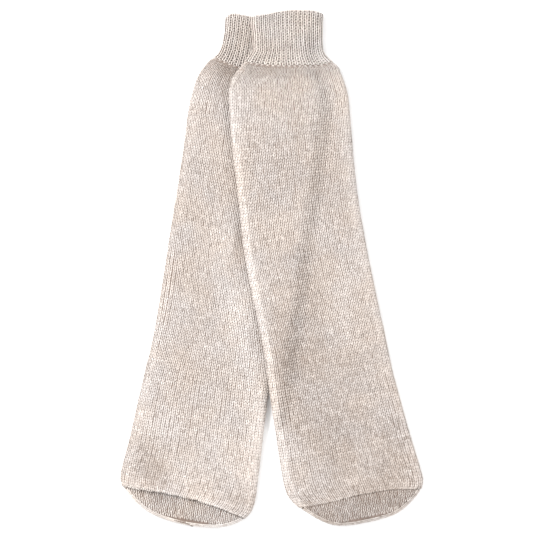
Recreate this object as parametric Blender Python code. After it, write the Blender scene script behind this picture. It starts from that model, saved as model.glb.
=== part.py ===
"""A pair of heelless wool socks laid flat, the right one lying partly over the left one.

Each sock is a knitted tube in three pieces: a ribbed cuff, a leg with no heel, and a
rounded toe cap. Each piece is a hollow wall whose two panels lie on each other, lofted
through sections that follow the sock's centreline. Sizes are in millimetres, with +X to
the right, +Y from the toes to the cuffs and +Z up. The meshes are turned into metres.
"""

import math

import bmesh
import bpy
import numpy as np

MM = 0.001

# The knitted wall, and how its two panels lie on each other.
WALL = 2.4
CUFF_WALL = 2.0
GAP_MIDDLE = 0.8  # between the panels, in the middle of the sock
GAP_FOLD = 1.6  # between the panels, at the rolled side folds
ROLL_START = 0.7  # share of the half width where the side roll begins
SEAM_GAP = 0.3

# The ribs of the cuff. The underside rests flat, so they are raised on the rest.
RIBS_ROUND = 34
RIB_RISE = 1.1
RIB_SIDE_LOW = -0.7  # a wall that faces down more than this has no ribs
RIB_SIDE_HIGH = -0.2  # and one that faces up more than this has whole ribs

# How the right sock lies over the left one and comes down beside it.
REST_GAP = 0.7
HOLD = 5.0  # it stays up this far past the lower sock's edge
FALL_LONG = 20.0  # then it reaches the table over this distance
FALL_SHORT = 5.0  # or over this one, beside the lower sock's toe
FALL_SHORTENS_FROM = 325.0  # from the lower sock's rim
FALL_SHORTENS_OVER = 45.0

# How far along the leg the slant of the cuff's foot and of the toe seam fades out.
FOOT_FADE = 40.0
SEAM_FADE = 45.0
CUFF_FADE = 3.0  # how far past the cuff's foot its thinner wall and ribs fade out
SWELL_START = 10.0  # the leg's swells begin this far past it
LIP_WIDTH = 7.0

# A fold's reach across, as the most of a narrow section's half width, and the least that
# is left of it on the inner face.
FOLD_MOST = 0.85
INNER_FOLD_LEAST = 0.3

EDGE_REPEATS = 24  # a section's ends are found by repeating this often
SPREAD_STEP = 0.4  # and a fold's slant is measured over this distance each way

# Points round a section and along each piece.
TOP_STEPS = 14
BOTTOM_STEPS = 14
FOLD_STEPS = 6
FINE_STEPS = 60  # where the ribs are spaced out
FINE_FOLD_STEPS = 16
CUFF_STATIONS = (0.0, 0.2, 0.4, 0.58, 0.72, 0.86, 1.0)  # shares of the cuff's length
TOE_STATIONS = (0.0, 0.22, 0.42, 0.6, 0.76, 0.88, 0.96, 0.995)  # shares of the toe's
LEG_PAST_FOOT = (0.5 * SEAM_GAP, 2.8, 6.5, 12.0, 20.0)  # sections this far past the cuff's foot
LEG_EVEN_FROM = 32.0  # then evenly spaced ones from here
LEG_EVEN_UNTIL = 22.0  # until this far before the toe seam
LEG_EVEN_STEP = 18.0
LEG_BEFORE_SEAM = (12.0, 6.0, 0.5 * SEAM_GAP)  # and these before it

WOOL_CUFF = (0.63, 0.56, 0.50)
WOOL_LEG = (0.68, 0.61, 0.55)
WOOL_TOE = (0.60, 0.52, 0.46)


def table(columns, *rows):
    """A table's columns by name, each as an array."""
    return dict(zip(columns.split(), np.array(rows, float).T))


# Each sock's middle line from its rim to its toe tip. The lower sock's is straight.
LEFT_LINE = ((-8.5, 217.18), (-71.8, -217.82))
RIGHT_LINE = (
    (13.3, 218.18),
    (13.5, 161.28),
    (22.7, 58.98),
    (40.7, -43.42),
    (61.1, -145.72),
    (75.7, -217.62),
)

# Half widths on the picture's left and right of the centreline, by distance from the rim.
LEFT_OUTLINE = table(
    "from_rim left right",
    (0, 31.0, 31.0),
    (10, 30.8, 30.6),
    (22, 29.8, 29.8),
    (32, 30.4, 30.4),
    (38, 32.6, 32.6),
    (43, 37.0, 37.2),
    (48, 41.2, 41.6),
    (54, 44.4, 44.8),
    (62, 47.3, 47.8),
    (72, 49.2, 49.6),
    (90, 50.7, 51.0),
    (125, 50.1, 50.9),
    (190, 50.9, 50.8),
    (250, 51.5, 51.4),
    (290, 52.8, 51.9),
    (313, 55.0, 52.3),
    (344, 57.6, 52.8),
    (375, 60.0, 53.7),
    (397, 62.6, 54.2),
    (406, 63.1, 54.4),
    (412, 61.5, 54.1),
    (417, 58.3, 53.4),
    (421, 54.4, 52.2),
    (426, 48.6, 48.9),
    (430, 42.4, 44.8),
    (434, 34.8, 38.4),
    (437, 25.0, 31.4),
    (439, 14.5, 24.0),
    (440.4, -1.0, 11.0),
)
RIGHT_OUTLINE = table(
    "from_rim left right",
    (0, 31.0, 31.0),
    (10, 30.9, 30.4),
    (22, 29.6, 30.6),
    (31, 29.2, 31.5),
    (37, 33.0, 34.4),
    (43, 38.2, 40.6),
    (48, 42.7, 44.2),
    (54, 47.6, 46.0),
    (62, 50.3, 48.5),
    (76, 51.4, 51.0),
    (105, 51.5, 51.4),
    (150, 50.9, 51.0),
    (202, 52.9, 51.2),
    (250, 52.2, 51.8),
    (284, 51.9, 52.7),
    (316, 54.2, 53.0),
    (348, 55.7, 55.0),
    (372, 57.0, 56.7),
    (393, 57.7, 58.8),
    (404, 56.5, 59.8),
    (412, 52.8, 60.2),
    (417, 48.5, 59.6),
    (422, 43.5, 56.6),
    (427, 38.2, 51.8),
    (431, 33.4, 46.4),
    (435, 27.6, 40.0),
    (438, 21.4, 33.4),
    (440, 14.0, 24.5),
    (441, 4.0, 12.0),
)

# Lines that cross a sock: their distance from the rim's level, by place across.
LEFT_RIM = table(
    "across from_rim",
    (-31, 8.0),
    (-28, 4.6),
    (-23, 2.2),
    (-16, 2.2),
    (0, 3.4),
    (31, 4.3),
)
RIGHT_RIM = table(
    "across from_rim",
    (-31, 3.4),
    (-17, 1.0),
    (-5, -1.6),
    (8, -2.4),
    (22, -1.9),
    (31, 0.4),
)
LEFT_FOOT = table(
    "across from_rim",
    (-42, 39.0),
    (-30, 43.0),
    (-14, 46.6),
    (6, 47.4),
    (22, 46.0),
    (42, 40.5),
)
RIGHT_FOOT = table(
    "across from_rim",
    (-42, 39.8),
    (-18, 43.6),
    (0, 45.0),
    (14, 45.3),
    (27, 44.7),
    (42, 41.4),
)
LEFT_SEAM = table(
    "across from_rim",
    (-58, 415.5),
    (-25, 416.0),
    (2, 418.0),
    (29, 423.0),
    (48, 428.0),
)
RIGHT_SEAM = table(
    "across from_rim",
    (-48, 417.6),
    (-24, 417.8),
    (0, 416.5),
    (26, 417.0),
    (56, 421.8),
)

# Soft swells of the upper panel, and short creases across it.
SWELL_COLUMNS = "from_rim across length width turn rise"
LEFT_SWELLS = table(
    SWELL_COLUMNS,
    (95, -24, 60, 16, 6, 0.9),
    (185, -6, 110, 20, -3, 0.7),
    (262, -30, 70, 18, 8, 0.8),
    (335, -8, 80, 24, 4, 1.0),
    (372, -34, 44, 13, 62, 0.8),
    (392, 20, 50, 14, 78, 0.7),
)
RIGHT_SWELLS = table(
    SWELL_COLUMNS,
    (74, 4, 44, 18, 12, 1.0),
    (128, -22, 80, 17, -6, 0.8),
    (205, 18, 110, 22, 4, 0.9),
    (281, 34, 34, 8, 84, 0.9),
    (300, -4, 90, 20, -4, 0.8),
    (328, 38, 32, 9, 76, 0.9),
    (366, -14, 70, 18, 14, 1.0),
    (392, 22, 46, 14, 70, 0.8),
)

# The raised lip at the leg's end, and how far the toe cap lies below it.
LEFT_LIP = table("across rise", (-58, 1.0), (-40, 1.4), (0, 1.3), (25, 0.9), (48, 0.3))
RIGHT_LIP = table("across rise", (-48, 0.25), (0, 0.5), (56, 0.4))
LEFT_TOE_SINK = 0.5
RIGHT_TOE_SINK = 0.2


def smooth(share):
    """A soft step from 0 to 1 as the share goes from 0 to 1."""
    share = np.clip(share, 0.0, 1.0)
    return share * share * (3.0 - 2.0 * share)


class Curve:
    """A smooth line through a table's points that never swings past them."""

    def __init__(self, at, value):
        self.at, self.value = at, value
        rise = np.diff(value) / np.diff(at)
        self.slope = np.zeros(len(at))
        same = rise[:-1] * rise[1:] > 0
        before, after = rise[:-1][same], rise[1:][same]
        self.slope[1:-1][same] = 2.0 * before * after / (before + after)
        self.slope[0], self.slope[-1] = rise[0], rise[-1]

    def __call__(self, where):
        where = np.clip(where, self.at[0], self.at[-1])
        low = np.clip(np.searchsorted(self.at, where, side="right") - 1, 0, len(self.at) - 2)
        step = self.at[low + 1] - self.at[low]
        t = (where - self.at[low]) / step
        start, end = self.value[low], self.value[low + 1]
        leave, reach = self.slope[low] * step, self.slope[low + 1] * step
        turned = 3.0 * (end - start) - 2.0 * leave - reach
        return start + t * (leave + t * (turned + t * (2.0 * (start - end) + leave + reach)))


class Centreline:
    """A sock's middle line on the table, from its rim to its toe tip."""

    STEPS = 80  # in each span of the curve

    def __init__(self, *points):
        first, last = np.array(points[0]), np.array(points[-1])
        before = 2.0 * first - np.array(points[1])
        after = 2.0 * last - np.array(points[-2])
        knots = np.vstack([before, np.array(points), after])
        t = np.linspace(0.0, 1.0, self.STEPS, endpoint=False)[:, None]
        spans = []
        for a, b, c, d in zip(knots, knots[1:], knots[2:], knots[3:]):
            bend = 2.0 * a - 5.0 * b + 4.0 * c - d
            twist = 3.0 * (b - c) + d - a
            spans.append(0.5 * (2.0 * b + t * (c - a + t * (bend + t * twist))))
        self.points = np.vstack([*spans, last])
        run = np.hypot(*np.diff(self.points, axis=0).T)
        self.run = np.concatenate([[0.0], np.cumsum(run)])
        ahead = np.gradient(self.points, self.run, axis=0)
        self.ahead = ahead / np.hypot(*ahead.T)[:, None]

    def place(self, along, across):
        """Where a point at this distance from the rim and from the line lies on the table."""
        inside = np.clip(along, 0.0, self.run[-1])
        x, y = (np.interp(inside, self.run, column) for column in self.points.T)
        ahead_x, ahead_y = (np.interp(inside, self.run, column) for column in self.ahead.T)
        past = along - inside
        return (
            x + past * ahead_x - across * ahead_y,
            y + past * ahead_y + across * ahead_x,
        )

    def locate(self, x, y):
        """The reverse of place, for a straight line."""
        ahead_x, ahead_y = self.ahead[0]
        off_x, off_y = x - self.points[0, 0], y - self.points[0, 1]
        return off_x * ahead_x + off_y * ahead_y, off_y * ahead_x - off_x * ahead_y


class Sock:
    """One sock's outline, crossing lines and panel heights."""

    def __init__(self, centreline, outline, rim, foot, seam, swells, lip, sink, lower=None):
        self.centreline = centreline
        self.left = Curve(outline["from_rim"], outline["left"])
        self.right = Curve(outline["from_rim"], outline["right"])
        self.rim = Curve(rim["across"], rim["from_rim"])
        self.foot = Curve(foot["across"], foot["from_rim"])
        self.seam = Curve(seam["across"], seam["from_rim"])
        self.foot_at = float(self.foot(0.0))
        self.seam_at = float(self.seam(0.0))
        self.rim_at = float(self.rim(0.0))
        self.tip_at = float(outline["from_rim"][-1])
        self.swells = swells
        self.lip = Curve(lip["across"], lip["rise"])
        self.sink = sink
        self.lower = lower

    def along(self, station, across):
        """The station's distance from the rim at this place across, slanted like the
        rim, the cuff's foot and the toe seam where it is near them."""
        cuff = np.clip((station - self.rim_at) / (self.foot_at - self.rim_at), 0.0, 1.0)
        leg = 1.0 - smooth((station - self.foot_at) / FOOT_FADE)
        foot = np.where(station < self.foot_at, cuff, leg)
        toe = 1.0 - (station - self.seam_at) / (self.tip_at - self.seam_at)
        seam = np.where(
            station < self.seam_at,
            smooth((station - self.seam_at + SEAM_FADE) / SEAM_FADE),
            np.clip(toe, 0.0, 1.0),
        )
        return (
            station
            + (1.0 - cuff) * (self.rim(across) - self.rim_at)
            + foot * (self.foot(across) - self.foot_at)
            + seam * (self.seam(across) - self.seam_at)
        )

    def edges(self, station):
        """How far the station's line reaches to the left and right, found by repeating."""
        left = right = np.zeros_like(np.asarray(station, float))
        for _ in range(EDGE_REPEATS):
            left = -self.left(self.along(station, left))
            right = self.right(self.along(station, right))
        return left, right

    def spread(self, station):
        """How much wider a fold looks along the station's line than square to the edge."""
        left_a, right_a = self.edges(station - SPREAD_STEP)
        left_b, right_b = self.edges(station + SPREAD_STEP)
        return (
            np.hypot(1.0, 0.5 * (left_b - left_a) / SPREAD_STEP),
            np.hypot(1.0, 0.5 * (right_b - right_a) / SPREAD_STEP),
        )

    def cuff_share(self, station):
        """1 on the cuff, falling to 0 just past its foot."""
        return 1.0 - smooth((station - self.foot_at) / CUFF_FADE)

    def wall(self, station):
        return WALL + (CUFF_WALL - WALL) * self.cuff_share(station)

    def height(self, station, across, share, crest):
        """The upper panel's height over what the sock lies on. The share runs from -1 at
        the left fold to 1 at the right one. A crest of 1 gives the tops of the ribs."""
        roll = smooth((np.abs(share) - ROLL_START) / (1.0 - ROLL_START))
        found = 2.0 * self.wall(station) + GAP_MIDDLE + (GAP_FOLD - GAP_MIDDLE) * roll
        along = self.along(station, across)
        free = 1.0 - self.cuff_share(station - SWELL_START)
        found = found + free * self.swelling(along, across)
        to_seam = self.seam(across) - along
        lip = np.where(to_seam > 0.0, np.exp(-((to_seam / LIP_WIDTH) ** 2)), 0.0)
        sunk = np.where(to_seam < 0.0, np.exp(to_seam / LIP_WIDTH), 0.0)
        found = found + self.lip(across) * lip - self.sink * sunk
        return found + crest * RIB_RISE * self.cuff_share(station)

    def swelling(self, along, across):
        total = 0.0
        rows = zip(*(self.swells[name] for name in SWELL_COLUMNS.split()))
        for from_rim, middle, length, width, turn, rise in rows:
            angle = math.radians(turn)
            on, off = along - from_rim, across - middle
            lengthwise = (on * math.cos(angle) + off * math.sin(angle)) / (0.5 * length)
            sideways = (off * math.cos(angle) - on * math.sin(angle)) / (0.5 * width)
            total = total + rise * np.exp(-(lengthwise**2) - sideways**2)
        return total

    def lift(self, x, y):
        """How high the table, or the sock beneath, holds this sock up."""
        if self.lower is None:
            return np.zeros_like(x)
        lower = self.lower
        along, across = lower.centreline.locate(x, y)
        station = np.clip(along, 0.0, lower.tip_at)
        left, right = -lower.left(station), lower.right(station)
        half = 0.5 * (right - left)
        share = (across - 0.5 * (left + right)) / half
        crest = lower.height(station, np.clip(across, left, right), np.clip(share, -1, 1), 1.0)
        past = np.maximum(across - right, left - across)
        shorter = smooth((along - FALL_SHORTENS_FROM) / FALL_SHORTENS_OVER)
        fall = FALL_LONG + (FALL_SHORT - FALL_LONG) * shorter
        hold = HOLD * (1.0 - shorter)
        return (crest + REST_GAP) * (1.0 - smooth((past - hold) / fall))

    def section(self, station, share, angle, inside, crest=0.0):
        """Points round one section. The share runs from -1 to 1 between the middles of the
        side folds, and the angle turns round them, from 90 degrees on the upper panel to
        -90 on the lower one. Inside is 0 for the outer face and 1 for the inner one."""
        wall = self.wall(station) * inside
        ribs = RIB_RISE * self.cuff_share(station)
        left, right = self.edges(station)
        wide_left, wide_right = self.spread(station)
        left, right = left + ribs, right - ribs
        half = 0.5 * (right - left)
        radius = 0.5 * (2.0 * self.wall(station) + GAP_FOLD)
        fold_left = np.minimum(radius * wide_left, FOLD_MOST * half)
        fold_right = np.minimum(radius * wide_right, FOLD_MOST * half)
        inner_left = np.maximum(fold_left - wall * wide_left, INNER_FOLD_LEAST * fold_left)
        inner_right = np.maximum(fold_right - wall * wide_right, INNER_FOLD_LEAST * fold_right)
        start, end = left + fold_left, right - fold_right
        flat = start + 0.5 * (share + 1.0) * (end - start)
        turned = np.cos(angle)
        across = flat + turned * np.where(turned > 0.0, inner_right, inner_left)
        top = self.height(station, flat, share, crest) - wall
        middle, reach = 0.5 * (top + wall), 0.5 * (top - wall)
        up = middle + reach * np.sin(angle)
        return self.along(station, across), across, up

    def point(self, along, across, up):
        x, y = self.centreline.place(along, across)
        return np.stack([x, y, up + self.lift(x, y)], axis=-1)


def loop_steps(top, fold, bottom):
    """The share and angle of each point round a section, from the left fold's outermost
    point over the upper panel to the right fold and back below."""
    right_angle = 0.5 * math.pi
    share = [
        np.linspace(-1.0, 1.0, top + 1),
        np.ones(fold - 1),
        np.linspace(1.0, -1.0, bottom + 1),
        -np.ones(fold - 1),
    ]
    angle = [
        np.full(top + 1, right_angle),
        np.linspace(right_angle, -right_angle, fold + 1)[1:-1],
        np.full(bottom + 1, -right_angle),
        np.linspace(-right_angle, -3.0 * right_angle, fold + 1)[1:-1],
    ]
    return (np.roll(np.concatenate(values), fold // 2) for values in (share, angle))


def leg_rings(sock):
    """The outer and inner rings of the leg, from the cuff's foot to the toe seam."""
    share, angle = loop_steps(TOP_STEPS, FOLD_STEPS, BOTTOM_STEPS)
    start, end = sock.foot_at + LEG_EVEN_FROM, sock.seam_at - LEG_EVEN_UNTIL
    stations = [sock.foot_at + past for past in LEG_PAST_FOOT]
    stations.extend(np.linspace(start, end, round((end - start) / LEG_EVEN_STEP) + 1))
    stations.extend(sock.seam_at - before for before in LEG_BEFORE_SEAM)
    outer, inner = [], []
    for station in stations:
        outer.append(sock.point(*sock.section(station, share, angle, 0.0)))
        inner.append(sock.point(*sock.section(station, share, angle, 1.0)))
    return outer, inner


def toe_rings(sock):
    """The outer and inner rings of the toe cap, whose edge closes in a round fold."""
    share, angle = loop_steps(TOP_STEPS, FOLD_STEPS, BOTTOM_STEPS)
    first = sock.seam_at + 0.5 * SEAM_GAP
    length = sock.tip_at - first
    radius = WALL + 0.5 * GAP_FOLD
    outer, inner = [], []
    for part in TOE_STATIONS:
        station = first + part * length
        to_tip = min(1.0, (1.0 - part) * length / radius)
        closing = math.sqrt(1.0 - (1.0 - to_tip) ** 2)
        for rings, inside in ((outer, 0.0), (inner, 1.0)):
            along, across, up = sock.section(station, share, angle, inside)
            along = along - inside * WALL * part
            rings.append(sock.point(along, across, radius + (up - radius) * closing))
    return outer, inner


def even_steps(across, up, count):
    """Points at even distances round a closed section."""
    across, up = np.append(across, across[0]), np.append(up, up[0])
    run = np.concatenate([[0.0], np.cumsum(np.hypot(np.diff(across), np.diff(up)))])
    at = run[-1] * np.arange(count) / count
    return np.interp(at, run, across), np.interp(at, run, up)


def cuff_rings(sock):
    """The outer and inner rings of the cuff. Its ribs are evenly spaced round the wall,
    from one on the left fold, and raised from it."""
    share, angle = loop_steps(FINE_STEPS, FINE_FOLD_STEPS, FINE_STEPS)
    points = 2 * RIBS_ROUND
    rib = RIB_RISE * (np.arange(points) % 2 == 0)
    first, last = sock.rim_at, sock.foot_at - 0.5 * SEAM_GAP
    outer, inner = [], []
    for part in CUFF_STATIONS:
        station = first + part * (last - first)
        _, across, up = sock.section(station, share, angle, 0.0)
        across, up = even_steps(across, up, points)
        side = np.roll(across, -1) - np.roll(across, 1)
        rise = np.roll(up, -1) - np.roll(up, 1)
        long = np.hypot(side, rise)
        facing_up = side / long
        raised = rib * smooth((facing_up - RIB_SIDE_LOW) / (RIB_SIDE_HIGH - RIB_SIDE_LOW))
        across, up = across - raised * rise / long, up + raised * facing_up
        outer.append(sock.point(sock.along(station, across), across, np.maximum(up, 0.0)))
        _, across, up = sock.section(station, share, angle, 1.0)
        across, up = even_steps(across, up, points)
        inner.append(sock.point(sock.along(station, across), across, up))
    return outer, inner


def material(name, colour):
    found = bpy.data.materials.new(name)
    found.use_nodes = True
    shader = found.node_tree.nodes["Principled BSDF"]
    shader.inputs["Base Color"].default_value = (*colour, 1.0)
    shader.inputs["Roughness"].default_value = 0.95
    shader.inputs["Metallic"].default_value = 0.0
    return found


def wall_object(name, rings, closed_end, colour, collection):
    """A hollow wall between its outer and inner rings. Its far end is closed on the toe."""
    shape = bmesh.new()
    outer, inner = (
        [[shape.verts.new(point * MM) for point in ring] for ring in surface]
        for surface in rings
    )
    for surface in (outer, inner):
        for near, far in zip(surface, surface[1:]):
            join_rings(shape, near, far)
    join_rings(shape, outer[0], inner[0])
    if closed_end:
        close_ring(shape, outer[-1])
        close_ring(shape, inner[-1])
    else:
        join_rings(shape, outer[-1], inner[-1])
    bmesh.ops.recalc_face_normals(shape, faces=shape.faces)
    mesh = bpy.data.meshes.new(name)
    shape.to_mesh(mesh)
    shape.free()
    mesh.shade_smooth()
    mesh.set_sharp_from_angle(angle=math.radians(60))
    mesh.materials.append(material(name, colour))
    made = bpy.data.objects.new(name, mesh)
    collection.objects.link(made)
    return made


def join_rings(shape, near, far):
    count = len(near)
    for i in range(count):
        j = (i + 1) % count
        shape.faces.new((near[i], near[j], far[j], far[i]))


def close_ring(shape, ring):
    """Closes a ring with faces between its upper and lower points, from fold to fold."""
    half = len(ring) // 2
    shape.faces.new((ring[0], ring[1], ring[-1]))
    for i in range(1, half - 1):
        shape.faces.new((ring[i], ring[i + 1], ring[-i - 1], ring[-i]))
    shape.faces.new((ring[half - 1], ring[half], ring[half + 1]))


def clear_scene():
    for found in list(bpy.data.objects):
        bpy.data.objects.remove(found, do_unlink=True)


def main():
    clear_scene()
    collection = bpy.data.collections.new("heelless_socks")
    bpy.context.scene.collection.children.link(collection)
    left = Sock(
        Centreline(*LEFT_LINE),
        LEFT_OUTLINE,
        LEFT_RIM,
        LEFT_FOOT,
        LEFT_SEAM,
        LEFT_SWELLS,
        LEFT_LIP,
        LEFT_TOE_SINK,
    )
    right = Sock(
        Centreline(*RIGHT_LINE),
        RIGHT_OUTLINE,
        RIGHT_RIM,
        RIGHT_FOOT,
        RIGHT_SEAM,
        RIGHT_SWELLS,
        RIGHT_LIP,
        RIGHT_TOE_SINK,
        lower=left,
    )
    for side, sock in (("left", left), ("right", right)):
        wall_object(f"sock_{side}_cuff", cuff_rings(sock), False, WOOL_CUFF, collection)
        wall_object(f"sock_{side}_leg", leg_rings(sock), False, WOOL_LEG, collection)
        wall_object(f"sock_{side}_toe", toe_rings(sock), True, WOOL_TOE, collection)


main()
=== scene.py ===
"""The looks of the pair of heelless wool socks: a knitted wall for each sock, with every
stitch on it as a mesh strand, in marled oatmeal wool. Sizes are in millimetres where a
name doesn't say otherwise, and the meshes are turned into metres."""

import math

import bpy
import numpy as np
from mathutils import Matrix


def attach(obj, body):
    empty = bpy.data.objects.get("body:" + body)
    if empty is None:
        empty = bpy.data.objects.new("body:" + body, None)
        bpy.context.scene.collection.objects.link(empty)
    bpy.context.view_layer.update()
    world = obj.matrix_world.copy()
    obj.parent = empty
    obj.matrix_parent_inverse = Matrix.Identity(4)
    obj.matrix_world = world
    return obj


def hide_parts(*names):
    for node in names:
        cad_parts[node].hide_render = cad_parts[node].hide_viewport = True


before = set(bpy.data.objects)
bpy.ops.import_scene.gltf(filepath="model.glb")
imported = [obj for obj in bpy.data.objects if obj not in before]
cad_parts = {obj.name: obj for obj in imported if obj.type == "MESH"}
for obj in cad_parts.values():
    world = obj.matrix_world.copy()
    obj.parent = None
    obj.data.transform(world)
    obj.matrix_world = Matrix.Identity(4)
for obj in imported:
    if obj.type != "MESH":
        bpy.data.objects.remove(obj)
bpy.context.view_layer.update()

rng = np.random.default_rng(20317)

MM = 0.001

# The knitted wall, as in the solids.
WALL = 2.4
CUFF_WALL = 2.0
GAP_MIDDLE = 0.8
GAP_FOLD = 1.6
ROLL_START = 0.7
RIB_RISE = 1.1
RIB_SIDE_LOW = -0.7
RIB_SIDE_HIGH = -0.2
REST_GAP = 0.7
HOLD = 5.0
FOLD_REACH = 6.4  # the stitches' face rounds off over this distance from a side fold
FOLD_REACH_FROM = 4.0  # from this far below the cuff's foot
FOLD_MOST = 0.85  # a fold takes up at most this share of the half width
INNER_LEAST = 0.3  # and the inner face's fold at least this share of the outer one's
CUFF_FADE = 3.0
SWELLS_FROM = 10.0  # the leg's swells start this far below the cuff's foot
EDGE_REPEATS = 24
SPREAD_STEP = 0.4
FALL_LONG = 20.0
FALL_SHORT = 5.0
FALL_SHORTENS_FROM = 325.0
FALL_SHORTENS_OVER = 45.0
FOOT_FADE = 40.0
SEAM_FADE = 45.0
LIP_WIDTH = 7.0

# The knitting: 34 ribs round the cuff become 68 columns of stitches round the leg.
RIBS_ROUND = 34
WALES_ROUND = 68
COURSE = 2.35  # from one row of stitches to the next
GROUND_DEPTH = 0.75  # the ground lies this far below the solids' face
FINE_STEPS = 60
FINE_FOLD_STEPS = 16
COLUMNS = 272  # points round the fine surface, 4 to a wale
WALL_COLUMNS = 136
ROW_STEP = 1.2
WALL_STEP = 4.7
INNER_WALL_STEP = 14.0
SEAM_ROWS = (-4.0, -2.4, -1.2, 0.5, 1.4, 3.0)  # a wall's closer rows, from the toe seam,
FOOT_ROWS = (1.2, 2.6)  # from the cuff's foot
TIP_ROWS = (-3.2, -2.4, -1.6, -0.9, -0.4, -0.1)  # and from the toe tip
GROUND_RIB = 0.72  # the ground's ribs rise this share of the solids' ribs
LOOKUP_STEPS = 240
RIM_PAST = 0.6  # the stitches' face runs this far past the rim
GROUND_FROM_RIM = 1.5
FLOOR_DROP = 0.2
UNEVEN = 0.22  # soft lumps of the upper panel
LUMP_WAVES = (26, 14.0, 70.0)  # their number and their least and greatest length
UNDERSIDE_CLEAR = 0.02

# The cord at the leg's end, by place across, and the groove of the toe seam.
TOE_SHADOW = 0.12
CORD_WIDTH = 1.9
CORD_BEFORE_SEAM = 2.4
GROOVE_DEPTH = 0.42
GROOVE_LEAST = 0.2  # the share of this that the groove has where there is no cord
GROOVE_WIDTH = 0.9

# The photo's frame: 550 pixels each way.
PHOTO_PIXELS = 550
MM_PER_PIXEL = 0.853
PHOTO_MIDDLE = (2.6, -4.8)  # where the middle of the frame is on the table
LENS = 135.0
SENSOR = 36.0
LOOK_HEIGHT = 3.2  # the height at which the frame has the photo's scale


def table(columns, *rows):
    """A table's columns by name, each as an array."""
    return dict(zip(columns.split(), np.array(rows, float).T))


LEFT_LINE = ((-8.5, 217.18), (-71.8, -217.82))
RIGHT_LINE = (
    (13.3, 218.18),
    (13.5, 161.28),
    (22.7, 58.98),
    (40.7, -43.42),
    (61.1, -145.72),
    (75.7, -217.62),
)
LEFT_OUTLINE = table(
    "from_rim left right",
    (0, 31.0, 31.0),
    (10, 30.8, 30.6),
    (22, 29.8, 29.8),
    (32, 30.4, 30.4),
    (38, 32.6, 32.6),
    (43, 37.0, 37.2),
    (48, 41.2, 41.6),
    (54, 44.4, 44.8),
    (62, 47.3, 47.8),
    (72, 49.2, 49.6),
    (90, 50.7, 51.0),
    (125, 50.1, 50.9),
    (190, 50.9, 50.8),
    (250, 51.5, 51.4),
    (290, 52.8, 51.9),
    (313, 55.0, 52.3),
    (344, 57.6, 52.8),
    (375, 60.0, 53.7),
    (397, 62.6, 54.2),
    (406, 63.1, 54.4),
    (412, 61.5, 54.1),
    (417, 58.3, 53.4),
    (421, 54.4, 52.2),
    (426, 48.6, 48.9),
    (430, 42.4, 44.8),
    (434, 34.8, 38.4),
    (437, 25.0, 31.4),
    (439, 14.5, 24.0),
    (440.4, -1.0, 11.0),
)
RIGHT_OUTLINE = table(
    "from_rim left right",
    (0, 31.0, 31.0),
    (10, 30.9, 30.4),
    (22, 29.6, 30.6),
    (31, 29.2, 31.5),
    (37, 33.0, 34.4),
    (43, 38.2, 40.6),
    (48, 42.7, 44.2),
    (54, 47.6, 46.0),
    (62, 50.3, 48.5),
    (76, 51.4, 51.0),
    (105, 51.5, 51.4),
    (150, 50.9, 51.0),
    (202, 52.9, 51.2),
    (250, 52.2, 51.8),
    (284, 51.9, 52.7),
    (316, 54.2, 53.0),
    (348, 55.7, 55.0),
    (372, 57.0, 56.7),
    (393, 57.7, 58.8),
    (404, 56.5, 59.8),
    (412, 52.8, 60.2),
    (417, 48.5, 59.6),
    (422, 43.5, 56.6),
    (427, 38.2, 51.8),
    (431, 33.4, 46.4),
    (435, 27.6, 40.0),
    (438, 21.4, 33.4),
    (440, 14.0, 24.5),
    (441, 4.0, 12.0),
)
LEFT_RIM = table(
    "across from_rim", (-31, 8.0), (-28, 4.6), (-23, 2.2), (-16, 2.2), (0, 3.4), (31, 4.3)
)
RIGHT_RIM = table(
    "across from_rim", (-31, 3.4), (-17, 1.0), (-5, -1.6), (8, -2.4), (22, -1.9), (31, 0.4)
)
LEFT_FOOT = table(
    "across from_rim", (-42, 39.0), (-30, 43.0), (-14, 46.6), (6, 47.4), (22, 46.0), (42, 40.5)
)
RIGHT_FOOT = table(
    "across from_rim", (-42, 39.8), (-18, 43.6), (0, 45.0), (14, 45.3), (27, 44.7), (42, 41.4)
)
LEFT_SEAM = table(
    "across from_rim", (-58, 415.5), (-25, 416.0), (2, 418.0), (29, 423.0), (48, 428.0)
)
RIGHT_SEAM = table(
    "across from_rim", (-48, 417.6), (-24, 417.8), (0, 416.5), (26, 417.0), (56, 421.8)
)
SWELL_COLUMNS = "from_rim across length width turn rise"  # of the leg's soft swells
LEFT_SWELLS = table(
    SWELL_COLUMNS,
    (95, -24, 60, 16, 6, 0.9),
    (185, -6, 110, 20, -3, 0.7),
    (262, -30, 70, 18, 8, 0.8),
    (335, -8, 80, 24, 4, 1.0),
    (372, -34, 44, 13, 62, 0.8),
    (392, 20, 50, 14, 78, 0.7),
)
RIGHT_SWELLS = table(
    SWELL_COLUMNS,
    (74, 4, 44, 18, 12, 1.0),
    (128, -22, 80, 17, -6, 0.8),
    (205, 18, 110, 22, 4, 0.9),
    (281, 34, 34, 8, 84, 0.9),
    (300, -4, 90, 20, -4, 0.8),
    (328, 38, 32, 9, 76, 0.9),
    (366, -14, 70, 18, 14, 1.0),
    (392, 22, 46, 14, 70, 0.8),
)
LEFT_LIP = table(
    "across rise cord", (-58, 1.0, 0.4), (-40, 1.4, 1.1), (0, 1.3, 1.0), (25, 0.9, 0.6), (48, 0.3, 0.05)
)
RIGHT_LIP = table("across rise cord", (-48, 0.25, 0.1), (0, 0.5, 0.15), (56, 0.4, 0.15))
LEFT_TOE_SINK = 0.5
RIGHT_TOE_SINK = 0.2


def smooth(share):
    """A soft step from 0 to 1 as the share goes from 0 to 1."""
    share = np.clip(share, 0.0, 1.0)
    return share * share * (3.0 - 2.0 * share)


def blend(first, second, share):
    """The first value at share 0, the second at 1, and in even steps between."""
    return first * (1.0 - share) + second * share


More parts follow.
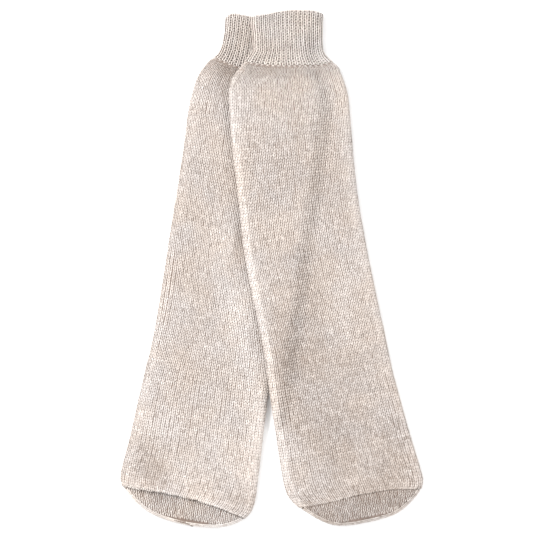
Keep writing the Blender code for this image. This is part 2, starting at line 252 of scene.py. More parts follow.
def soft_spots(spots, x, y):
    """The sum of soft oval spots at these places. Each has its full value in its middle and
    fades over its length and width, and its length lies at its turn."""
    total = np.zeros(np.broadcast(x, y).shape)
    for spot_x, spot_y, length, width, turn, full in zip(*spots.values()):
        angle = math.radians(turn)
        off_x, off_y = x - spot_x, y - spot_y
        lengthwise = (off_x * math.cos(angle) + off_y * math.sin(angle)) / (0.5 * length)
        sideways = (off_y * math.cos(angle) - off_x * math.sin(angle)) / (0.5 * width)
        total = total + full * np.exp(-(lengthwise**2) - sideways**2)
    return total


class Curve:
    """A smooth line through a table's points that never swings past them."""

    def __init__(self, at, value):
        self.at, self.value = at, value
        rise = np.diff(value) / np.diff(at)
        self.slope = np.zeros(len(at))
        same = rise[:-1] * rise[1:] > 0
        before, after = rise[:-1][same], rise[1:][same]
        self.slope[1:-1][same] = 2.0 * before * after / (before + after)
        self.slope[0], self.slope[-1] = rise[0], rise[-1]

    def __call__(self, where):
        where = np.clip(where, self.at[0], self.at[-1])
        low = np.clip(np.searchsorted(self.at, where, side="right") - 1, 0, len(self.at) - 2)
        step = self.at[low + 1] - self.at[low]
        t = (where - self.at[low]) / step
        start, end = self.value[low], self.value[low + 1]
        leave, reach = self.slope[low] * step, self.slope[low + 1] * step
        turned = 3.0 * (end - start) - 2.0 * leave - reach
        return start + t * (leave + t * (turned + t * (2.0 * (start - end) + leave + reach)))


class Centreline:
    """A sock's middle line on the table, from its rim to its toe tip."""

    STEPS = 80

    def __init__(self, *points):
        first, last = np.array(points[0]), np.array(points[-1])
        before = 2.0 * first - np.array(points[1])
        after = 2.0 * last - np.array(points[-2])
        knots = np.vstack([before, np.array(points), after])
        t = np.linspace(0.0, 1.0, self.STEPS, endpoint=False)[:, None]
        spans = []
        for a, b, c, d in zip(knots, knots[1:], knots[2:], knots[3:]):
            bend = 2.0 * a - 5.0 * b + 4.0 * c - d
            twist = 3.0 * (b - c) + d - a
            spans.append(0.5 * (2.0 * b + t * (c - a + t * (bend + t * twist))))
        self.points = np.vstack([*spans, last])
        run = np.hypot(*np.diff(self.points, axis=0).T)
        self.run = np.concatenate([[0.0], np.cumsum(run)])
        ahead = np.gradient(self.points, self.run, axis=0)
        self.ahead = ahead / np.hypot(*ahead.T)[:, None]

    def place(self, along, across):
        """Where a point at this distance from the rim and from the line lies on the table."""
        inside = np.clip(along, 0.0, self.run[-1])
        x, y = (np.interp(inside, self.run, column) for column in self.points.T)
        ahead_x, ahead_y = (np.interp(inside, self.run, column) for column in self.ahead.T)
        past = along - inside
        return (
            x + past * ahead_x - across * ahead_y,
            y + past * ahead_y + across * ahead_x,
        )

    def locate(self, x, y):
        """The reverse of place, for a straight line."""
        ahead_x, ahead_y = self.ahead[0]
        off_x, off_y = x - self.points[0, 0], y - self.points[0, 1]
        return off_x * ahead_x + off_y * ahead_y, off_y * ahead_x - off_x * ahead_y


class Sock:
    """One sock's outline, crossing lines and panel heights."""

    def __init__(
        self, centreline, outline, rim, foot, seam, swells, lip, sink, edge_light, toe_light, lower=None
    ):
        self.centreline = centreline
        self.left = Curve(outline["from_rim"], outline["left"])
        self.right = Curve(outline["from_rim"], outline["right"])
        lines = [Curve(line["across"], line["from_rim"]) for line in (rim, foot, seam)]
        self.rim, self.foot, self.seam = lines
        self.rim_at, self.foot_at, self.seam_at = (float(line(0.0)) for line in lines)
        self.tip_at = float(outline["from_rim"][-1])
        self.swells = swells
        self.lip = Curve(lip["across"], lip["rise"])
        self.cord = Curve(lip["across"], lip["cord"])
        self.sink = sink
        self.lower = lower
        self.edge_light = edge_light  # how much lighter its left fold's nap is painted: a painted highlight
        self.toe_light = toe_light  # and how much lighter its toe cap's wool is
        self.dressed = True  # False gives the heights of the plain solid

    def along(self, station, across):
        """The station's distance from the rim at this place across, slanted like the
        rim, the cuff's foot and the toe seam where it is near them."""
        cuff = np.clip((station - self.rim_at) / (self.foot_at - self.rim_at), 0.0, 1.0)
        leg = 1.0 - smooth((station - self.foot_at) / FOOT_FADE)
        foot = np.where(station < self.foot_at, cuff, leg)
        toe = 1.0 - (station - self.seam_at) / (self.tip_at - self.seam_at)
        seam = np.where(
            station < self.seam_at,
            smooth((station - self.seam_at + SEAM_FADE) / SEAM_FADE),
            np.clip(toe, 0.0, 1.0),
        )
        return (
            station
            + (1.0 - cuff) * (self.rim(across) - self.rim_at)
            + foot * (self.foot(across) - self.foot_at)
            + seam * (self.seam(across) - self.seam_at)
        )

    def edges(self, station):
        """How far the station's line reaches to the left and right, found by repeating."""
        left = right = np.zeros_like(np.asarray(station, float))
        for _ in range(EDGE_REPEATS):
            left = -self.left(self.along(station, left))
            right = self.right(self.along(station, right))
        return left, right

    def spread(self, station):
        """How much wider a fold looks along the station's line than square to the edge."""
        left_a, right_a = self.edges(station - SPREAD_STEP)
        left_b, right_b = self.edges(station + SPREAD_STEP)
        return (
            np.hypot(1.0, (left_b - left_a) / (2.0 * SPREAD_STEP)),
            np.hypot(1.0, (right_b - right_a) / (2.0 * SPREAD_STEP)),
        )

    def cuff_share(self, station):
        """1 on the cuff, falling to 0 just past its foot."""
        return 1.0 - smooth((station - self.foot_at) / CUFF_FADE)

    def wall(self, station):
        """How thick the knitted wall is."""
        return WALL + (CUFF_WALL - WALL) * self.cuff_share(station)

    def height(self, station, across, share, crest):
        """The upper panel's height over what the sock lies on."""
        roll = smooth((np.abs(share) - ROLL_START) / (1.0 - ROLL_START))
        found = 2.0 * self.wall(station) + GAP_MIDDLE + (GAP_FOLD - GAP_MIDDLE) * roll
        along = self.along(station, across)
        free = 1.0 - self.cuff_share(station - SWELLS_FROM)
        found = found + free * soft_spots(self.swells, along, across)
        to_seam = self.seam(across) - along
        lip = np.where(to_seam > 0.0, np.exp(-((to_seam / LIP_WIDTH) ** 2)), 0.0)
        sunk = np.where(to_seam < 0.0, np.exp(to_seam / LIP_WIDTH), 0.0)
        found = found + self.lip(across) * lip - self.sink * sunk
        if self.dressed:
            cord = np.exp(-(((to_seam - CORD_BEFORE_SEAM) / CORD_WIDTH) ** 2))
            groove = np.exp(-(((to_seam + 0.5 * GROOVE_WIDTH) / GROOVE_WIDTH) ** 2))
            deep = GROOVE_DEPTH * (GROOVE_LEAST + (1.0 - GROOVE_LEAST) * self.cord(across))
            found = found + self.cord(across) * cord - deep * groove
        return found + crest * RIB_RISE * self.cuff_share(station)

    def lift(self, x, y):
        """How high the table, or the sock beneath, holds this sock up."""
        if self.lower is None:
            return np.zeros_like(x)
        lower = self.lower
        along, across = lower.centreline.locate(x, y)
        station = np.clip(along, 0.0, lower.tip_at)
        left, right = -lower.left(station), lower.right(station)
        half = 0.5 * (right - left)
        share = (across - 0.5 * (left + right)) / half
        lower.dressed = False
        crest = lower.height(station, np.clip(across, left, right), np.clip(share, -1, 1), 1.0)
        lower.dressed = True
        past = np.maximum(across - right, left - across)
        shorter = smooth((along - FALL_SHORTENS_FROM) / FALL_SHORTENS_OVER)
        fall = FALL_LONG + (FALL_SHORT - FALL_LONG) * shorter
        hold = HOLD * (1.0 - shorter)
        return (crest + REST_GAP) * (1.0 - smooth((past - hold) / fall))

    def section(self, station, share, angle, inside):
        """Points round one section, from the outer face at inside 0 to the inner at 1."""
        wall = self.wall(station) * inside
        ribs = RIB_RISE * self.cuff_share(station)
        left, right = self.edges(station)
        wide_left, wide_right = self.spread(station)
        left, right = left + ribs, right - ribs
        half = 0.5 * (right - left)
        radius = 0.5 * (2.0 * self.wall(station) + GAP_FOLD)
        radius = radius + (FOLD_REACH - radius) * (1.0 - self.cuff_share(station - FOLD_REACH_FROM))
        fold_left = np.minimum(radius * wide_left, FOLD_MOST * half)
        fold_right = np.minimum(radius * wide_right, FOLD_MOST * half)
        inner_left = np.maximum(fold_left - wall * wide_left, INNER_LEAST * fold_left)
        inner_right = np.maximum(fold_right - wall * wide_right, INNER_LEAST * fold_right)
        start, end = left + fold_left, right - fold_right
        flat = start + 0.5 * (share + 1.0) * (end - start)
        turned = np.cos(angle)
        across = flat + turned * np.where(turned > 0.0, inner_right, inner_left)
        top = self.height(station, flat, share, 0.0) - wall
        middle, reach = 0.5 * (top + wall), 0.5 * (top - wall)
        return across, middle + reach * np.sin(angle)


def loop_steps(top, fold, bottom):
    """The share and angle of each point round a section, from the left fold's outermost
    point over the upper panel to the right fold and back below."""
    quarter = 0.5 * math.pi
    share = [
        np.linspace(-1.0, 1.0, top + 1),
        np.ones(fold - 1),
        np.linspace(1.0, -1.0, bottom + 1),
        -np.ones(fold - 1),
    ]
    angle = [
        np.full(top + 1, quarter),
        np.linspace(quarter, -quarter, fold + 1)[1:-1],
        np.full(bottom + 1, -quarter),
        np.linspace(-quarter, -3.0 * quarter, fold + 1)[1:-1],
    ]
    return (np.roll(np.concatenate(values), fold // 2) for values in (share, angle))


def soft_lumps(count, shortest, longest):
    """A smooth unevenness over the table, with a spread of about 1, from random waves."""
    angle = rng.uniform(0.0, 2.0 * math.pi, count)
    length = rng.uniform(shortest, longest, count)
    phase = rng.uniform(0.0, 2.0 * math.pi, count)

    def height(x, y):
        total = 0.0
        for turn, long, start in zip(angle, length, phase):
            way = x * math.cos(turn) + y * math.sin(turn)
            total = total + np.sin(2.0 * math.pi * way / long + start)
        return total * math.sqrt(2.0 / count)

    return height


class Surface:
    """One face of a sock's wall as a grid. Rows run from the rim to the toe tip, and
    columns run round the wall from the left fold over the upper panel."""

    def __init__(self, sock, stations, columns, inside, lumps):
        self.sock, self.stations, self.columns = sock, stations, columns
        share, angle = loop_steps(FINE_STEPS, FINE_FOLD_STEPS, FINE_STEPS)
        station = stations[:, None]
        across, up = sock.section(station, share, angle, inside)
        radius = WALL + 0.5 * GAP_FOLD
        to_tip = np.clip((sock.tip_at - station) / radius, 0.0, 1.0)
        up = radius + (up - radius) * np.sqrt(1.0 - (1.0 - to_tip) ** 2)
        even_across = np.empty((len(stations), columns))
        even_up = np.empty_like(even_across)
        self.round = np.empty(len(stations))
        for row, (side, rise) in enumerate(zip(across, up)):
            side, rise = np.append(side, side[0]), np.append(rise, rise[0])
            run = np.concatenate([[0.0], np.cumsum(np.hypot(np.diff(side), np.diff(rise)))])
            at = run[-1] * np.arange(columns) / columns
            even_across[row] = np.interp(at, run, side)
            even_up[row] = np.interp(at, run, rise)
            self.round[row] = run[-1]
        toe = np.clip((station - sock.seam_at) / (sock.tip_at - sock.seam_at), 0.0, 1.0)
        along = sock.along(station, even_across) - inside * WALL * toe
        x, y = sock.centreline.place(along, even_across)
        z = even_up + sock.lift(x, y)
        self.across = even_across
        self.over, self.under = self.lookups()
        self.points = np.stack([x, y, z], axis=-1)
        self.out = self.ways_out()
        facing_up = np.clip(self.out[..., 2], 0.0, 1.0)
        self.points[..., 2] += UNEVEN * facing_up * lumps(x, y)
        self.out = self.ways_out()

    def lookups(self):
        """For each row, the column at even shares across: over the sock and below it."""
        half = self.columns // 2
        shares = np.linspace(0.0, 1.0, LOOKUP_STEPS + 1)
        over, under = [], []
        for row in self.across:
            wide = row[0] + shares * (row[half] - row[0])
            below = np.append(row[half:], row[0])[::-1]
            numbers = np.arange(self.columns, half - 1, -1)
            over.append(np.interp(wide, row[: half + 1], np.arange(half + 1)))
            under.append(np.interp(wide, below, numbers))
        return np.array(over), np.array(under)

    def rows_at(self, station):
        """The row just before each station, and how far past it the station is."""
        row = np.interp(station, self.stations, np.arange(len(self.stations)))
        low = np.minimum(row.astype(int), len(self.stations) - 2)
        return low, row - low

    def column_at(self, station, across, below):
        """The column at this distance across, which is held to the sock's edges."""
        row, past = self.rows_at(station)
        half = self.columns // 2
        left = blend(self.across[row, 0], self.across[row + 1, 0], past)
        right = blend(self.across[row, half], self.across[row + 1, half], past)
        share = np.clip((across - left) / (right - left), 0.0, 1.0) * LOOKUP_STEPS
        step = np.minimum(share.astype(int), LOOKUP_STEPS - 1)
        share = share - step
        table = self.under if below else self.over
        near = blend(table[row, step], table[row, step + 1], share)
        far = blend(table[row + 1, step], table[row + 1, step + 1], share)
        return blend(near, far, past)

    def across_at(self, station, column):
        """How far across these columns are at one station."""
        row = int(np.searchsorted(self.stations, station))
        around = np.append(self.across[row], self.across[row, 0])
        return np.interp(np.mod(column, self.columns), np.arange(self.columns + 1), around)

    def ways_out(self):
        """The direction square to the face at each of its points."""
        down = np.gradient(self.points, axis=0)
        side = np.roll(self.points, -1, axis=1) - np.roll(self.points, 1, axis=1)
        out = np.cross(down, side)
        return out / np.linalg.norm(out, axis=-1, keepdims=True)

    def at(self, station, column, height):
        """Points over the face at these stations, columns and heights."""
        row, past = self.rows_at(station)
        past = past[..., None]
        column = np.mod(column, self.columns)
        left = np.floor(column).astype(int) % self.columns
        right = (left + 1) % self.columns
        beside = (column - np.floor(column))[..., None]
        found = []
        for grid in (self.points, self.out):
            near = blend(grid[row, left], grid[row, right], beside)
            far = blend(grid[row + 1, left], grid[row + 1, right], beside)
            found.append(blend(near, far, past))
        points = found[0] + found[1] * height[..., None]
        points[..., 2] = np.maximum(points[..., 2], UNDERSIDE_CLEAR)
        return points

    def step(self, station):
        """How long one column's step is, round the wall."""
        return np.interp(station, self.stations, self.round) / self.columns

    def wale(self, station):
        """How wide one column of the leg's stitches is."""
        return self.step(station) * self.columns / WALES_ROUND

    def middles(self, count):
        """The middles of this many even parts of the round, as columns."""
        return (np.arange(count) + 0.5) * self.columns / count

    def rib(self, station, column):
        """How far a cuff's rib stands out of the wall, between 0 and its full rise."""
        turn = math.pi * column * RIBS_ROUND / self.columns
        return (1.0 - np.sin(turn) ** 4) * self.rib_rise(station, column)

    def rib_rise(self, station, column):
        """A rib's full rise, which falls to nothing below the sock and past the cuff."""
        row = np.interp(station, self.stations, np.arange(len(self.stations))).astype(int)
        facing_up = self.out[row, np.mod(np.round(column).astype(int), self.columns), 2]
        shown = smooth((facing_up - RIB_SIDE_LOW) / (RIB_SIDE_HIGH - RIB_SIDE_LOW))
        return RIB_RISE * shown * self.sock.cuff_share(station)


# Materials

# The tones of the strands and of the ground beneath them, and the tints that they lean to.
DARK = (0.29, 0.235, 0.2)
MIDDLE = (0.6, 0.545, 0.507)
LIGHT = (0.855, 0.809, 0.766)
# The ground's tones are far darker than the strands': painted shade in the gaps between the stitches.
GROUND_DARK = (0.12, 0.09, 0.07)
GROUND_MIDDLE = (0.21, 0.162, 0.136)
GROUND_LIGHT = (0.32, 0.258, 0.222)
COOL = (0.978, 0.985, 1.005)
WARM = (1.0, 0.975, 0.955)

# Each noise's scale, detail and roughness, and how far it moves the tone.
PATCH_NOISE = (24.0, 2.0, 0.45)
STRAND_NOISE = (1000.0, 1.0, 0.5)
FIBRE_NOISE = (2600.0, 3.0, 0.65)
TINT_NOISE = (34.0, 2.0, 0.5)
PATCH_TONE = 0.2
STRAND_TONE = 0.5
FIBRE_TONE = 0.48
FIBRE_RELIEF = 0.6
STRAND_RELIEF = 0.4
RELIEF_DEEP = 0.25


def wool(name, dark, middle, light, bump, uses_tone):
    """Marled wool: each stitch has its own tone, and patches of the cloth lean to a cool or
    a warm tint, with fine fibres over both."""
    found = bpy.data.materials.new(name)
    found.use_nodes = True
    nodes, links = found.node_tree.nodes, found.node_tree.links
    shader = nodes["Principled BSDF"].inputs
    shader["Roughness"].default_value = 0.92
    shader["Specular IOR Level"].default_value = 0.25
    shader["Sheen Weight"].default_value = 0.22
    shader["Sheen Roughness"].default_value = 0.45
    shader["Sheen Tint"].default_value = (1.0, 0.96, 0.92, 1.0)
    place = nodes.new("ShaderNodeTexCoord")

    def noise(scale, detail, roughness):
        made = nodes.new("ShaderNodeTexNoise")
        made.inputs["Scale"].default_value = scale
        made.inputs["Detail"].default_value = detail
        made.inputs["Roughness"].default_value = roughness
        links.new(place.outputs["Object"], made.inputs["Vector"])
        return made.outputs["Fac"]

    def combined(operation, *values):
        """The outcome of an operation on values that are numbers or sockets."""
        made = nodes.new("ShaderNodeMath")
        made.operation = operation
        for socket, value in zip(made.inputs, values):
            if isinstance(value, float):
                socket.default_value = value
            else:
                links.new(value, socket)
        return made.outputs[0]

    def varied(value, spread):
        """The value's swing round 0, which is as wide as the spread."""
        return combined("MULTIPLY_ADD", value, spread, -0.5 * spread)

    def ramp(value, first, last, *between):
        """The value's colour between stops, each of which is a place and a colour."""
        made = nodes.new("ShaderNodeValToRGB")
        elements = made.color_ramp.elements
        for i, (at, colour) in enumerate((first, last)):
            elements[i].position = at
            elements[i].color = (*colour, 1.0)
        for at, colour in between:
            elements.new(at).color = (*colour, 1.0)
        links.new(value, made.inputs["Fac"])
        return made.outputs["Color"]

    strand, fibres = noise(*STRAND_NOISE), noise(*FIBRE_NOISE)
    tone = varied(noise(*PATCH_NOISE), PATCH_TONE)
    tone = combined("ADD", tone, varied(strand, STRAND_TONE))
    tone = combined("ADD", tone, varied(fibres, FIBRE_TONE))
    if uses_tone:
        drawn = nodes.new("ShaderNodeAttribute")
        drawn.attribute_name = "tone"
        tone = combined("ADD", tone, drawn.outputs["Fac"])
    else:
        tone = combined("ADD", tone, 0.5)
    mixed = nodes.new("ShaderNodeMix")
    mixed.data_type = "RGBA"
    mixed.blend_type = "MULTIPLY"
    mixed.inputs["Factor"].default_value = 1.0
    links.new(ramp(tone, (0.08, dark), (0.92, light), (0.5, middle)), mixed.inputs["A"])
    links.new(ramp(noise(*TINT_NOISE), (0.36, COOL), (0.64, WARM)), mixed.inputs["B"])
    links.new(mixed.outputs["Result"], shader["Base Color"])
    relief = nodes.new("ShaderNodeBump")
    relief.inputs["Strength"].default_value = bump
    relief.inputs["Distance"].default_value = RELIEF_DEEP * MM
    fine = combined("MULTIPLY", fibres, FIBRE_RELIEF)
    coarse = combined("MULTIPLY", strand, STRAND_RELIEF)
    links.new(combined("ADD", fine, coarse), relief.inputs["Height"])
    links.new(relief.outputs["Normal"], shader["Normal"])
    return found


strand_wool = wool("strand_wool", DARK, MIDDLE, LIGHT, 0.5, True)
# its dark wool is painted shade in the gaps between the stitches
gap_shade_wool = wool("gap_shade_wool", GROUND_DARK, GROUND_MIDDLE, GROUND_LIGHT, 0.8, False)


# Meshes


def mesh_object(name, points, faces, material, map_points=None, tone=None):
    """A mesh object from arrays of points in millimetres and of faces."""
    mesh = bpy.data.meshes.new(name)
    sides = faces.shape[1]
    mesh.vertices.add(len(points))
    mesh.vertices.foreach_set("co", (points * MM).astype(np.float32).ravel())
    mesh.loops.add(faces.size)
    mesh.loops.foreach_set("vertex_index", faces.astype(np.int32).ravel())
    mesh.polygons.add(len(faces))
    mesh.polygons.foreach_set("loop_start", np.arange(0, faces.size, sides, dtype=np.int32))
    mesh.polygons.foreach_set("loop_total", np.full(len(faces), sides, dtype=np.int32))
    mesh.update(calc_edges=True)
    mesh.shade_smooth()
    if map_points is not None:
        layer = mesh.uv_layers.new(name="OFBake")
        places = map_points[faces.ravel()].astype(np.float32)
        layer.data.foreach_set("uv", places.ravel())
    if tone is not None:
        layer = mesh.attributes.new("tone", "FLOAT", "POINT")
        layer.data.foreach_set("value", tone.astype(np.float32))
    mesh.materials.append(material)
    made = bpy.data.objects.new(name, mesh)
    bpy.context.scene.collection.objects.link(made)
    return made


def grid_faces(rows, columns):
    """Triangles of a grid that is closed round its columns, two for each cell."""
    row, column = np.meshgrid(np.arange(rows - 1), np.arange(columns), indexing="ij")
    a, b = row * columns + column, row * columns + (column + 1) % columns
    c, d = a + columns, b + columns
    first = np.stack([a, c, b], -1).reshape(-1, 3)
    second = np.stack([b, c, d], -1).reshape(-1, 3)
    return np.concatenate([first, second])


def wall_object(name, sock, lumps):
    """The sock's ground: a closed hollow wall, open at the rim, under the stitches. Its dark
    wool is painted shade in the gaps between them.
    """
    stations = wall_stations(sock, WALL_STEP)
    outer = Surface(sock, stations, WALL_COLUMNS, 0.0, lumps)
    inner = Surface(sock, wall_stations(sock, INNER_WALL_STEP), WALL_COLUMNS, 1.0, lumps)
    station, column = np.meshgrid(stations, np.arange(float(WALL_COLUMNS)), indexing="ij")
    raised = GROUND_RIB * outer.rib(station, column) - GROUND_DEPTH
    outside = outer.points + outer.out * raised[..., None]
    outside[..., 2] = np.maximum(outside[..., 2], 2.0 * UNDERSIDE_CLEAR)
    start, end = outside[0], inner.points[0]
    middle, half = 0.5 * (start + end), 0.5 * (start - end)
    ahead = outer.points[0] - outer.points[1]
    ahead /= np.linalg.norm(ahead, axis=-1, keepdims=True)
    reach = np.linalg.norm(half, axis=-1, keepdims=True)
    rounded = [
        middle + half * math.cos(angle) + ahead * reach * math.sin(angle)
        for angle in np.radians((135.0, 90.0, 45.0))
    ]
    rings = [*inner.points[::-1], *rounded, *outside]
    tips = [rings[0].mean(axis=0), rings[-1].mean(axis=0)]
    first_tip = len(rings) * WALL_COLUMNS
    last = first_tip - WALL_COLUMNS
    ring = np.arange(WALL_COLUMNS)
    beside = (ring + 1) % WALL_COLUMNS
    start_cap = np.stack([ring, beside, np.full(WALL_COLUMNS, first_tip)], -1)
    end_cap = np.stack([last + beside, last + ring, np.full(WALL_COLUMNS, first_tip + 1)], -1)
    faces = np.concatenate([grid_faces(len(rings), WALL_COLUMNS), start_cap, end_cap])
    return mesh_object(name, np.concatenate([*rings, tips]), faces, gap_shade_wool)


def wall_stations(sock, step):
    """Rows of a wall, closer at the rim, the cuff's foot, the toe seam and the tip."""
    edges = [sock.rim_at + GROUND_FROM_RIM, sock.foot_at, sock.seam_at, sock.tip_at + TIP_ROWS[0]]
    found = []
    for start, end in zip(edges, edges[1:]):
        found.extend(np.linspace(start, end, max(3, round((end - start) / step)), endpoint=False))
    found.extend(sock.seam_at + np.array(SEAM_ROWS))
    found.extend(sock.foot_at + np.array(FOOT_ROWS))
    found.extend(sock.tip_at + np.array(TIP_ROWS))
    return np.unique(np.round(found, 3))


def fine_surface(sock, lumps):
    """The face that the stitches lie on, in fine rows."""
    start, end = sock.rim_at - RIM_PAST, sock.tip_at + TIP_ROWS[-1]
    stations = np.linspace(start, end, round((end - start) / ROW_STEP))
    return Surface(sock, stations, COLUMNS, 0.0, lumps)


# Where a strand has rings of corners, as shares of its length, and their corners' turns.
TIP_RINGS_FINE = (0.16, 0.5, 0.84)
TIP_RINGS_PLAIN = (0.3, 0.7)
CORNER_TURNS = (90.0, 210.0, 330.0)
STRAND_BLUNT = 0.6  # less makes a strand's ends blunter
SHADE_FROM = 1.0  # except on the toe's edge, strands lower than this keep their plain tone, without the painted shade and light and the patches


def strand_corners(rings):
    """A strand's corners from end to end: each one's share of its length, how far the
    strand arches there, and the corner's place in its section, aside and up."""
    for share in (0.0, *rings, 1.0):
        bulge = math.sin(math.pi * share)
        full = bulge**STRAND_BLUNT
        for turn in CORNER_TURNS[:1] if share in (0.0, 1.0) else CORNER_TURNS:
            angle = math.radians(turn)
            yield share, bulge, full * math.cos(angle), full * math.sin(angle)


def strand_faces(rings):
    """Triangles of one strand with this many rings between its ends."""
    faces = [(0, 1 + (i + 1) % 3, 1 + i) for i in range(3)]
    for ring in range(rings - 1):
        near, far = 1 + 3 * ring, 4 + 3 * ring
        for i in range(3):
            j = (i + 1) % 3
            faces += [(near + i, near + j, far + i), (near + j, far + j, far + i)]
    last = 1 + 3 * (rings - 1)
    faces += [(last + i, last + (i + 1) % 3, last + 3) for i in range(3)]
    return np.array(faces)


def strand_batch(points, places, tone, rings):
    """The points, faces, map places and tones of strands, as flat arrays."""
    count, size = points.shape[:2]
    faces = strand_faces(len(rings)) + (size * np.arange(count))[:, None, None]
    points, faces = points.reshape(-1, 3), faces.reshape(-1, 3)
    return points, faces, places.reshape(-1, 2), np.repeat(tone, size)


def strands(surface, station, column, start, end, radius, height, arch, tone, rings, across=None):
    """Short pieces of yarn, one for each station and column. Start and end are their ends,
    in millimetres along the sock and round it, and arch is how far the middle stands up.
    Each is a closed spindle with a three-sided section. With across, a distance and
    whether it is below, they are placed by that and not by their columns."""
    along_0, side_0 = start
    along_1, side_1 = end
    long = np.hypot(along_1 - along_0, side_1 - side_0)
    square_along, square_side = -(side_1 - side_0) / long, (along_1 - along_0) / long
    step = surface.step(station)
    corners = []
    for share, bulge, wide, thick in strand_corners(rings):
        out = radius[0] * wide
        at = station + along_0 + (along_1 - along_0) * share + out * square_along
        aside = side_0 + (side_1 - side_0) * share + out * square_side
        up = height + arch * bulge + radius[1] * thick
        if across is None:
            turned = column + aside / step
        else:
            place, below = across
            turned = surface.column_at(at, place - aside if below else place + aside, below)
        corners.append(np.broadcast_arrays(at, turned, up))
    stations, columns, heights = (np.stack(values, axis=1) for values in zip(*corners))
    points = surface.at(stations, columns, heights)
    places = np.stack([columns / surface.columns, stations / surface.stations[-1]], axis=-1)
    shown = points[:, :, 2].mean(axis=1) > SHADE_FROM
    # add the painted shade, painted light and patches at each strand's place
    tone = tone + soft_spots(PAINTED_LIGHT_AND_PATCHES, *points.mean(axis=1).T[:2]) * shown
    return strand_batch(points, places, tone, rings)


# Places on the table where the wool is darker or lighter: painted shade beside the folds
# and in troughs, painted light beside a fold and on the cuff's right fold, and darker and
# lighter patches of the wool.
PAINTED_LIGHT_AND_PATCHES = table(
    "x y length width turn tone",
    (-29, 16, 52, 11, 84, -0.16),
    (14, -66, 66, 20, 99, -0.1),
    (31, -14, 56, 26, 95, -0.07),
    (57, -40, 70, 34, 100, 0.05),
    (-102, -171, 52, 24, 125, -0.21),
    (70, -140, 150, 110, 100, -0.14),
    (-90, -110, 120, 80, 85, -0.01),
    (-22, 165, 30, 22, 90, -0.02),
    (68, -222, 110, 30, 0, -0.16),
    (28, -188, 56, 44, 0, -0.07),
    (106, -170, 60, 46, 60, -0.11),
    (9, -80, 44, 20, 95, -0.08),
    (-28, -198, 30, 24, 90, -0.12),
    (-120, -192, 24, 16, 110, 0.12),
    (-97, -46, 60, 14, 80, 0.12),
    (-24, -62, 190, 28, 99, 0.17),
    (40, 200, 40, 16, 90, 0.08),
    (34, -62, 190, 40, 99, -0.05),
    (19, 112, 110, 80, 90, -0.03),
    (24, 169, 96, 24, 0, 0.09),
    (-43, 158, 50, 14, 75, -0.08),
)


def joined(batches):
    """Several batches of strands as one set of arrays."""
    points, faces, places, tones = zip(*batches)
    firsts = np.cumsum([0, *(len(corners) for corners in points)])
    faces = [corners + first for corners, first in zip(faces, firsts)]
    return tuple(np.concatenate(values) for values in (points, faces, places, tones))


# How far the marl changes a leg's tone: for its stitch, its course and itself.
TONE_MIDDLE = 0.5
STITCH_TONE = 0.03
COURSE_TONE = 0.01
LEG_TONE = 0.06
OWN_SHARE = 0.9  # a stitch's share of its own tone
NEXT_SHARE = 0.2  # and of its neighbour's


def tones_of(courses, wales, sides):
    """Each leg's tone. The marled yarn changes along a course, and courses differ a bit."""
    yarn = rng.normal(0.0, 1.0, (courses, wales))
    yarn = OWN_SHARE * yarn + NEXT_SHARE * np.roll(yarn, 1, axis=1)
    course = rng.normal(0.0, 1.0, (courses, 1))
    leg = rng.normal(0.0, 1.0, (courses, wales, sides))
    shared = STITCH_TONE * yarn + COURSE_TONE * course
    return TONE_MIDDLE + shared[..., None] + LEG_TONE * leg


# The leg's columns and courses waver.
WALE_WANDER = 0.05  # of a wale, for each column of stitches by itself
WANDER_SMOOTHINGS = 3
SHARED_WANDER = 0.3  # of a wale, for neighbouring columns together
SHARED_WAVES = (12, 110.0, 260.0)  # their number and their least and greatest length
COURSE_WANDER = 0.8
WALE_APART = 3.1  # how far apart the columns are in these waves
COURSE_PLACE = 400.0  # the courses waver as the waves do this far off
FOLD_WALES = 5  # the columns are held in place this near to a side fold
FIRST_COURSE = 0.3  # of a course, from the cuff's foot to the first stitches' middle

# One leg of a stitch.
LEG_SIDE_LOW = 0.11  # where a stitch's legs stand at its point, in wales
LEG_SIDE_HIGH = 0.37  # and at its open end
LEG_REACH = 0.74  # half of a leg's length, in courses
LEG_WIDE = 0.215  # half of its width, in wales
LEG_THICK = 0.50
LEG_HEIGHT = -0.72
LEG_ARCH = 0.34
FULL_WALE = 2.7  # legs are shorter where the wales are narrower than this
NARROW_LEAST = 0.72
LENGTH_JITTER = 0.05  # legs differ by this share of their length,
SHIFT_JITTER = 0.03  # in their place and their lean by these shares of a wale,
LEAN_JITTER = 0.02
WIDTH_JITTER = 0.06  # by this share of their width,
ARCH_JITTER = 0.05  # and in their arch, place along the sock and height by these
ALONG_JITTER = 0.06
HEIGHT_JITTER = 0.04

# The toe cap's knit.
TOE_FIRST = 0.75  # its first row is this many courses from the seam,
TOE_LAST = 0.7  # and its last at least this many from where its edge rolls under
TOE_EDGE_IN = 0.5  # its rows end this far in from the edge, in wales
TOE_JITTER = 0.06  # its columns waver by this share of a wale
TOE_FULL = 0.8  # its legs are this share of the leg's in width
TOE_MARL = 1.5  # and their tones vary this many times more
TOE_SHADOW_REACH = 6.0
TOE_EDGE_DIM = 0.06  # the stitches of its edge are this much darker
TOE_EDGE_LINES = (-64.0, -22.0, 22.0, 64.0)  # degrees up from level, of the toe edge's lines
TOE_EDGE_STITCH = 0.8  # from one stitch of these to the next, in courses
TOE_EDGE_SPAN = 2.5  # the outline's direction is taken this far to either side
TOE_EDGE_SINK = -0.2
TOE_EDGE_THICK = 0.45
